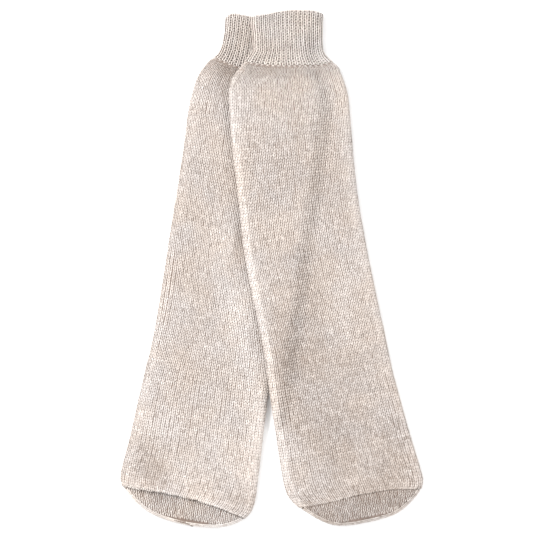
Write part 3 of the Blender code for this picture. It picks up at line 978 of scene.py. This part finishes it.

# Painted light on the side folds' nap and on the lip's, painted shade just at the left fold, and how
# the painted light widens the legs.
FOLD_LIGHT_WIDTH = 6.2  # a painted highlight on the rolled fold's nap reaches this far round from the fold
FOLD_LIGHT_FADE = 3.2
FOLD_LIGHT_TOP = 0.45  # the band is this share of that width at the cuff's foot
FOLD_LIGHT_WIDENS = 140.0  # and has all of it this far below
FAR_FOLD_LIGHT = 0.02  # the right side fold's nap is painted this much lighter: a painted highlight
FOLD_DIM = 0.2  # painted shade just at the fold, which darkens it where the light falls square on it
FOLD_DIM_WIDTH = 1.7
LIP_LIGHT = 0.13  # the lip's nap is painted this much lighter above the toe seam: a painted highlight on the raised lip
LIP_LIGHT_WIDTH = 3.8
LIT_WIDENS = 2.0  # lit legs are this much wider for each unit of tone
WIDE_WIDENS = 1.7  # and legs in wide wales for each share that these are past the full one
NARROWEST_SHARE = -0.12  # legs in narrow wales thin by no more than for this share
FOLD_WIDENS = 0.2  # legs are squashed wider at the side folds
FOLD_WIDENS_OVER = 16.0


def stitch_legs(surface, station, column, wale, tone, side, rings, height, full=1.0, across=None):
    """One leg of each stitch, on the left for side -1 and on the right for side 1. Full
    is how much wider than usual it is."""
    count = len(station)
    jitter = rng.normal(0.0, 1.0, (4, count))
    narrow = np.clip(wale / FULL_WALE, NARROW_LEAST, 1.0)
    reach = COURSE * LEG_REACH * narrow * (1.0 + LENGTH_JITTER * jitter[0])
    shift = SHIFT_JITTER * wale * jitter[1]
    start = (-reach, side * LEG_SIDE_HIGH * wale + shift)
    end = (reach, side * LEG_SIDE_LOW * wale + shift + LEAN_JITTER * wale * jitter[2])
    radius = (LEG_WIDE * wale * full * (1.0 + WIDTH_JITTER * jitter[3]), LEG_THICK)
    arch = LEG_ARCH + ARCH_JITTER * rng.normal(0.0, 1.0, count)
    return strands(surface, station, column, start, end, radius, height, arch, tone, rings, across)


def fold_light(sock, station, from_fold):
    """How much lighter the wool is painted at this distance round from the left side fold: a
    painted highlight on the fold's nap, with painted shade just at the fold. The light band
    widens down the leg."""
    widened = smooth((station - sock.foot_at) / FOLD_LIGHT_WIDENS)
    width = FOLD_LIGHT_WIDTH * (FOLD_LIGHT_TOP + (1.0 - FOLD_LIGHT_TOP) * widened)
    nap = sock.edge_light * (1.0 - smooth((from_fold - width) / FOLD_LIGHT_FADE))
    return nap - FOLD_DIM * np.exp(-((from_fold / FOLD_DIM_WIDTH) ** 2))


def leg_knit(surface, first_wale, last_wale, rings):
    """The plain knit of the leg between the cuff's foot and the toe seam."""
    sock = surface.sock
    courses = round((sock.seam_at - sock.foot_at) / COURSE)
    step = (sock.seam_at - sock.foot_at) / courses
    wales = last_wale - first_wale
    stations = sock.foot_at + step * (np.arange(courses) + FIRST_COURSE)
    wander = rng.normal(0.0, 1.0, (courses, wales))
    for _ in range(WANDER_SMOOTHINGS):
        wander = 0.25 * (np.roll(wander, 1, 0) + 2.0 * wander + np.roll(wander, -1, 0))
    shared = soft_lumps(*SHARED_WAVES)
    place = (first_wale + np.arange(wales)) * WALE_APART
    from_folds = np.minimum(np.arange(wales), wales - np.arange(wales))
    held = smooth(from_folds / FOLD_WALES)[None, :]
    wander = WALE_WANDER * wander + SHARED_WANDER * held * shared(stations[:, None], place[None, :])
    per_wale = surface.columns / WALES_ROUND
    column = (first_wale + np.arange(wales)[None, :] + wander) * per_wale
    station = np.broadcast_to(stations[:, None], column.shape)
    station = station + COURSE_WANDER * shared(place[None, :] + COURSE_PLACE, stations[:, None])
    station = station.ravel() + rng.normal(0.0, ALONG_JITTER, column.size)
    column = column.ravel()
    wale = surface.wale(station)
    from_fold = np.minimum(column, surface.columns - column) * wale / per_wale
    # painted highlights on both side folds' nap and on the lip, and painted shade just at the left fold
    lit = fold_light(sock, station, from_fold)
    from_far_fold = np.abs(column - 0.5 * surface.columns) * wale / per_wale
    lit = lit + FAR_FOLD_LIGHT * (1.0 - smooth((from_far_fold - FOLD_LIGHT_WIDTH) / FOLD_LIGHT_FADE))
    to_seam = sock.seam_at - station
    cord = sock.cord(surface.across_at(sock.seam_at, column))
    lit = lit + LIP_LIGHT * cord * np.exp(-((to_seam / LIP_LIGHT_WIDTH) ** 2))
    full = 1.0 + LIT_WIDENS * np.maximum(lit, 0.0)
    full = full + WIDE_WIDENS * np.maximum(wale / FULL_WALE - 1.0, NARROWEST_SHARE)
    to_fold = np.minimum(from_fold, from_far_fold)
    full = full + FOLD_WIDENS * (1.0 - smooth(to_fold / FOLD_WIDENS_OVER))
    tones = tones_of(courses, wales, 2).reshape(-1, 2) + lit[:, None]
    height = LEG_HEIGHT + rng.normal(0.0, HEIGHT_JITTER, len(station))
    return joined(
        stitch_legs(surface, station, column, wale, tones[:, i], side, rings, height, full)
        for i, side in enumerate((-1, 1))
    )


def toe_tones(sock, count):
    """The toe cap's tones: as the leg's, but lighter and more marled."""
    return TONE_MIDDLE + sock.toe_light + TOE_MARL * (tones_of(1, count, 2)[0] - TONE_MIDDLE)


def toe_knit(surface):
    """The toe cap's knit. Its wales run straight on from the seam and end at the edge."""
    sock = surface.sock
    half = surface.columns // 2
    seam_row = int(np.searchsorted(surface.stations, sock.seam_at))
    wale = surface.wale(sock.seam_at)
    edge_from = sock.tip_at - WALL - 0.5 * GAP_FOLD
    stations = np.arange(sock.seam_at + TOE_FIRST * COURSE, edge_from - TOE_LAST * COURSE, COURSE)
    middle = 0.5 * (surface.across[seam_row, 0] + surface.across[seam_row, half])
    wales = middle + (np.arange(-half, half) + 0.5) * wale
    batches = []
    for station in stations:
        row = int(np.searchsorted(surface.stations, station))
        left = surface.across[row, 0] + TOE_EDGE_IN * wale
        right = surface.across[row, half] - TOE_EDGE_IN * wale
        across = wales[(wales > left) & (wales < right)]
        count = len(across)
        from_seam = (station - sock.seam_at) / TOE_SHADOW_REACH
        shadowed = -TOE_SHADOW * sock.cord(across) * math.exp(-(from_seam**2))
        for below in (False, True):
            at = np.full(count, station) + rng.normal(0.0, ALONG_JITTER, count)
            tones = toe_tones(sock, count) + shadowed[:, None]
            height = LEG_HEIGHT + rng.normal(0.0, HEIGHT_JITTER, count)
            place = across + TOE_JITTER * wale * rng.normal(0.0, 1.0, count)
            for i, side in enumerate((-1, 1)):
                stitch = (surface, at, None, wale, tones[:, i], side, TIP_RINGS_FINE, height)
                batches.append(stitch_legs(*stitch, full=TOE_FULL, across=(place, below)))
    batches.extend(toe_edge(surface, wale))
    return joined(batches)


def toe_outline(surface):
    """The toe cap's outline from the left end of the seam, round the tip, to the right
    end: its points, and the row and column of each."""
    half = surface.columns // 2
    last = len(surface.stations) - 1
    rows = np.arange(int(np.searchsorted(surface.stations, surface.sock.seam_at + 1.0)), last)
    row = np.concatenate([rows, np.full(half + 1, last), rows[::-1]])
    left, right = np.zeros(len(rows), int), np.full(len(rows), half)
    column = np.concatenate([left, np.arange(half + 1), right])
    return 0.5 * (surface.points[row, column] + surface.points[row, -column]), row, column


def toe_edge(surface, wale):
    """The stitches of the toe cap's rolled edge, in lines that follow its outline."""
    outline, row, column = toe_outline(surface)
    run = np.concatenate([[0.0], np.cumsum(np.linalg.norm(np.diff(outline, axis=0), axis=1))])
    fold = WALL + 0.5 * GAP_FOLD
    count = int(run[-1] / (TOE_EDGE_STITCH * COURSE))
    middle = np.linspace(0.0, run[-1], count)
    share_round = np.interp(middle, run, column) / surface.columns
    share_long = np.interp(middle, run, surface.stations[row]) / surface.stations[-1]

    def on_outline(where):
        return np.stack([np.interp(where, run, outline[:, i]) for i in range(3)], axis=-1)

    def on_edge(where, turn):
        way = on_outline(where + TOE_EDGE_SPAN) - on_outline(where - TOE_EDGE_SPAN)
        aside = np.stack([way[:, 1], -way[:, 0], np.zeros(count)], axis=-1)
        aside = aside / np.linalg.norm(aside, axis=1, keepdims=True)
        out = math.cos(turn) * aside + math.sin(turn) * np.array([0.0, 0.0, 1.0])
        return on_outline(where) - fold * aside + (fold + LEG_HEIGHT + TOE_EDGE_SINK) * out, out

    batches = []
    for line in TOE_EDGE_LINES:
        tones = toe_tones(surface.sock, count) - TOE_EDGE_DIM
        for i, side in enumerate((-1, 1)):
            sides = (side * LEG_SIDE_HIGH * wale, side * LEG_SIDE_LOW * wale)
            turns = [math.radians(line) + aside / fold for aside in sides]
            start, out = on_edge(middle - LEG_REACH * COURSE, turns[0])
            end = on_edge(middle + LEG_REACH * COURSE, turns[1])[0]
            place = share_round + (1.0 - 4.0 * share_round) * 0.5 * sum(turns) * fold / surface.round[0]
            places = np.stack([place, share_long], axis=-1)
            batches.append(edge_strands(start, end, out, wale, tones[:, i], places))
    return batches


def edge_strands(start, end, out, wale, tone, places):
    """Strands between points in space, which stand up in the direction out."""
    along = end - start
    along = along / np.linalg.norm(along, axis=1, keepdims=True)
    wide = np.cross(out, along)
    corners, spots = [], []
    for share, bulge, aside, up in strand_corners(TIP_RINGS_FINE):
        aside, up = LEG_WIDE * wale * aside, TOE_EDGE_THICK * up
        corners.append(start + (end - start) * share + aside * wide + (LEG_ARCH * bulge + up) * out)
        spots.append(places + np.array([aside, share * COURSE]) * MM)
    points = np.stack(corners, axis=1)
    # add the painted shade, painted light and patches at each strand's place
    tone = tone + soft_spots(PAINTED_LIGHT_AND_PATCHES, *points.mean(axis=1).T[:2])
    return strand_batch(points, np.stack(spots, axis=1), tone, TIP_RINGS_FINE)


def seam_knit(surface):
    """The toe seam: the leg's last stitches turn down into it, and linking stitches lie in its
    groove, painted dark as the groove's shade."""
    sock = surface.sock
    count = WALES_ROUND
    column = np.arange(count) * surface.columns / count
    wale = surface.wale(sock.seam_at)
    cord = sock.cord(surface.across_at(sock.seam_at, column))
    waver = rng.normal(0.0, 0.45, count)
    waver = 0.5 * waver + 0.5 * np.roll(waver, 1)
    batches = []
    for lean in (-0.24, 0.24):
        station = sock.seam_at - 0.75 + waver + rng.normal(0.0, 0.2, count)
        # the turned-down stitches are painted darker as shade going into the groove, and lighter where
        # the cord stands up: painted shade and painted light
        tone = 0.42 + 0.2 * cord + 0.14 * rng.normal(0.0, 1.0, count)
        start, end = (-1.5, 1.3 * lean * wale), (1.35, 0.9 * lean * wale)
        radius = (0.27 * wale, 0.55)
        arch = 0.3 + 0.08 * rng.normal(0.0, 1.0, count)
        height = -0.72 + 0.3 * cord
        leg = (surface, station, column, start, end, radius, height, arch, tone)
        batches.append(strands(*leg, TIP_RINGS_FINE))
    station = sock.seam_at + 1.0 + waver
    between = column + 0.5 * surface.columns / count
    start, end = (0.3, -0.45 * wale), (-0.3, 0.45 * wale)
    radius = (0.42, 0.4)
    height, arch = -0.75, 0.3
    # the linking stitches are painted dark: painted shade in the groove
    tone = 0.16 + 0.12 * cord + 0.2 * rng.normal(0.0, 1.0, count)
    link = (surface, station, between, start, end, radius, height, arch, tone)
    batches.append(strands(*link, TIP_RINGS_PLAIN))
    return joined(batches)


def cuff_knit(surface):
    """The cuff's ribs as columns of knit stitches, and the purl bumps between them."""
    sock = surface.sock
    courses = round((sock.foot_at - sock.rim_at) / COURSE)
    step = (sock.foot_at - sock.rim_at) / courses
    per_rib = surface.columns / RIBS_ROUND
    stations = sock.rim_at + step * (np.arange(courses) + 0.5)
    station = np.repeat(stations, RIBS_ROUND)
    ribs = np.tile(np.arange(RIBS_ROUND) * per_rib, courses)
    wale = surface.wale(station)
    from_fold = np.minimum(ribs, surface.columns - ribs) * surface.step(station)
    # painted highlight on the left fold's nap, and painted shade just at the fold
    lit = fold_light(sock, station, from_fold)
    tones = tones_of(courses, RIBS_ROUND, 3).reshape(-1, 3) + lit[:, None]
    rise = surface.rib_rise(station, ribs)
    # the ribs' stitches are painted lighter than the purl bumps in the valleys: painted light on the
    # raised ribs
    rib_wale, rib_painted_light, rib_height = 1.68 * wale, 0.1, rise - 0.66
    batches = []
    for i, side in enumerate((-1, 1)):
        stitch = (surface, station, ribs, rib_wale, tones[:, i] + rib_painted_light, side, TIP_RINGS_FINE)
        batches.append(stitch_legs(*stitch, rib_height))
    start, end = (0.25, -0.6 * wale), (0.25, 0.6 * wale)
    radius = (1.3, 0.5)
    height, arch = 0.38 * rise - 0.7, 0.25
    tone = tones[:, 2] + 0.04
    valley, between = ribs + 0.5 * per_rib, station + 0.5 * step
    purl = (surface, between, valley, start, end, radius, height, arch, tone)
    batches.append(strands(*purl, TIP_RINGS_PLAIN))
    batches.extend((rim_loops(surface), foot_knots(surface)))
    return joined(batches)


def rim_loops(surface):
    """The cast-on edge: a chain of loops along the rim, each over its stitch."""
    rim_at, count = surface.sock.rim_at, WALES_ROUND
    column, wale = surface.middles(count), surface.wale(rim_at)
    tone = 0.55 + 0.1 * rng.normal(0.0, 1.0, count)
    start, end = (-0.3, -0.75 * wale), (0.3, 0.75 * wale)
    radius = (0.85, 0.85)
    height, arch = 0.7 * surface.rib(rim_at, column) - 0.6, 0.25
    loop = (surface, rim_at + 0.8, column, start, end, radius, height, arch, tone)
    return strands(*loop, TIP_RINGS_FINE)


def foot_knots(surface):
    """Knots where the valleys between the ribs end, painted dark as the shade in the valleys' ends."""
    foot_at, count = surface.sock.foot_at, RIBS_ROUND
    column, wale = surface.middles(count), surface.wale(foot_at)
    tone = 0.02 + 0.08 * rng.normal(0.0, 1.0, count)
    start, end = (-1.1, -0.1 * wale), (1.0, 0.1 * wale)
    radius = (0.36 * wale, 0.45)
    height, arch = -0.3, 0.3
    knot = (surface, foot_at + 0.1, column, start, end, radius, height, arch, tone)
    return strands(*knot, TIP_RINGS_PLAIN)


# The shares of the wall's round that a piece's map spreads, a bit more than the piece covers.
UPPER_ROUND = (-0.02, 0.52)
UNDER_ROUND = (0.48, 1.02)
WHOLE_ROUND = (-0.02, 1.02)


def strand_object(name, batch, shares):
    """Strands as one object, whose map spreads these shares of the wall's round."""
    points, faces, places, tones = batch
    round_share = (places[:, 0] - shares[0]) / (shares[1] - shares[0])
    places = np.clip(np.stack([round_share, places[:, 1]], axis=-1), 0.0, 1.0)
    return mesh_object(name, points, faces, strand_wool, places, tones)


def dress(side, sock):
    """Makes a sock's pieces, which ride on the frame in place of its solids."""
    lumps = soft_lumps(*LUMP_WAVES)
    wall = wall_object(f"sock_{side}_ground", sock, lumps)
    surface = fine_surface(sock, lumps)
    half = WALES_ROUND // 2
    parts = (
        ("leg_upper", leg_knit(surface, 0, half, TIP_RINGS_FINE), UPPER_ROUND),
        ("leg_under", leg_knit(surface, half, WALES_ROUND, TIP_RINGS_PLAIN), UNDER_ROUND),
        ("cuff", cuff_knit(surface), WHOLE_ROUND),
        ("toe", toe_knit(surface), WHOLE_ROUND),
        ("seam", seam_knit(surface), WHOLE_ROUND),
    )
    knits = [strand_object(f"sock_{side}_{part}_knit", batch, shares) for part, batch, shares in parts]
    slots = ("knitted_wool", "knitted_wool", "ribbed_wool", "toe_wool", "toe_wool")
    for piece, slot in zip((wall, *knits), ("knitted_wool", *slots)):
        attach(piece, "root")
    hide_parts(f"sock_{side}_cuff", f"sock_{side}_leg", f"sock_{side}_toe")
    return wall


left_sock = Sock(
    Centreline(*LEFT_LINE),
    LEFT_OUTLINE,
    LEFT_RIM,
    LEFT_FOOT,
    LEFT_SEAM,
    LEFT_SWELLS,
    LEFT_LIP,
    LEFT_TOE_SINK,
    edge_light=0.02,
    toe_light=0.2,
)
right_sock = Sock(
    Centreline(*RIGHT_LINE),
    RIGHT_OUTLINE,
    RIGHT_RIM,
    RIGHT_FOOT,
    RIGHT_SEAM,
    RIGHT_SWELLS,
    RIGHT_LIP,
    RIGHT_TOE_SINK,
    edge_light=0.12,
    toe_light=0.1,
    lower=left_sock,
)
left_wall = dress("left", left_sock)
dress("right", right_sock)


# Stage, light and camera

scene = bpy.context.scene


def plain_floor():
    """The plain pale floor, just below the socks."""
    mesh = bpy.data.meshes.new("floor")
    size = 3.0
    drop = -FLOOR_DROP * MM
    corners = [(-size, -size, drop), (size, -size, drop), (size, size, drop), (-size, size, drop)]
    mesh.from_pydata(corners, [], [(0, 1, 2, 3)])
    material = bpy.data.materials.new("pale_floor")
    material.use_nodes = True
    shader = material.node_tree.nodes["Principled BSDF"]
    shader.inputs["Base Color"].default_value = (0.95, 0.95, 0.95, 1.0)
    shader.inputs["Roughness"].default_value = 0.9
    shader.inputs["Specular IOR Level"].default_value = 0.1
    mesh.materials.append(material)
    floor = bpy.data.objects.new("floor", mesh)
    scene.collection.objects.link(floor)


def area_light(name, place, size, power, colour):
    """A soft square light at this place in metres, aimed at the middle of the table."""
    data = bpy.data.lights.new(name, "AREA")
    data.energy = power
    data.size = size
    data.color = colour
    lamp = bpy.data.objects.new(name, data)
    lamp.location = place
    aim = -lamp.location
    lamp.rotation_euler = aim.to_track_quat("-Z", "Y").to_euler()
    scene.collection.objects.link(lamp)


def camera():
    """Looks straight down on the frame's middle, with the photo's scale at LOOK_HEIGHT."""
    data = bpy.data.cameras.new("camera")
    data.lens = LENS
    data.sensor_width = SENSOR
    across = PHOTO_PIXELS * MM_PER_PIXEL
    away = across * LENS / SENSOR + LOOK_HEIGHT
    data.clip_start, data.clip_end = 0.01, 20.0
    made = bpy.data.objects.new("camera", data)
    made.location = (PHOTO_MIDDLE[0] * MM, PHOTO_MIDDLE[1] * MM, away * MM)
    scene.collection.objects.link(made)
    scene.camera = made


plain_floor()
area_light("key", (-1.03, 0.66, 0.96), 0.5, 27.5, (1.0, 0.99, 0.98))
area_light("fill", (1.1, -0.5, 0.8), 0.8, 8.0, (1.0, 1.0, 1.0))
world = bpy.data.worlds.new("studio")
world.use_nodes = True
world.node_tree.nodes["Background"].inputs["Color"].default_value = (1.0, 1.0, 1.0, 1.0)
world.node_tree.nodes["Background"].inputs["Strength"].default_value = 1.0
scene.world = world
scene.view_settings.view_transform = "Standard"
camera()
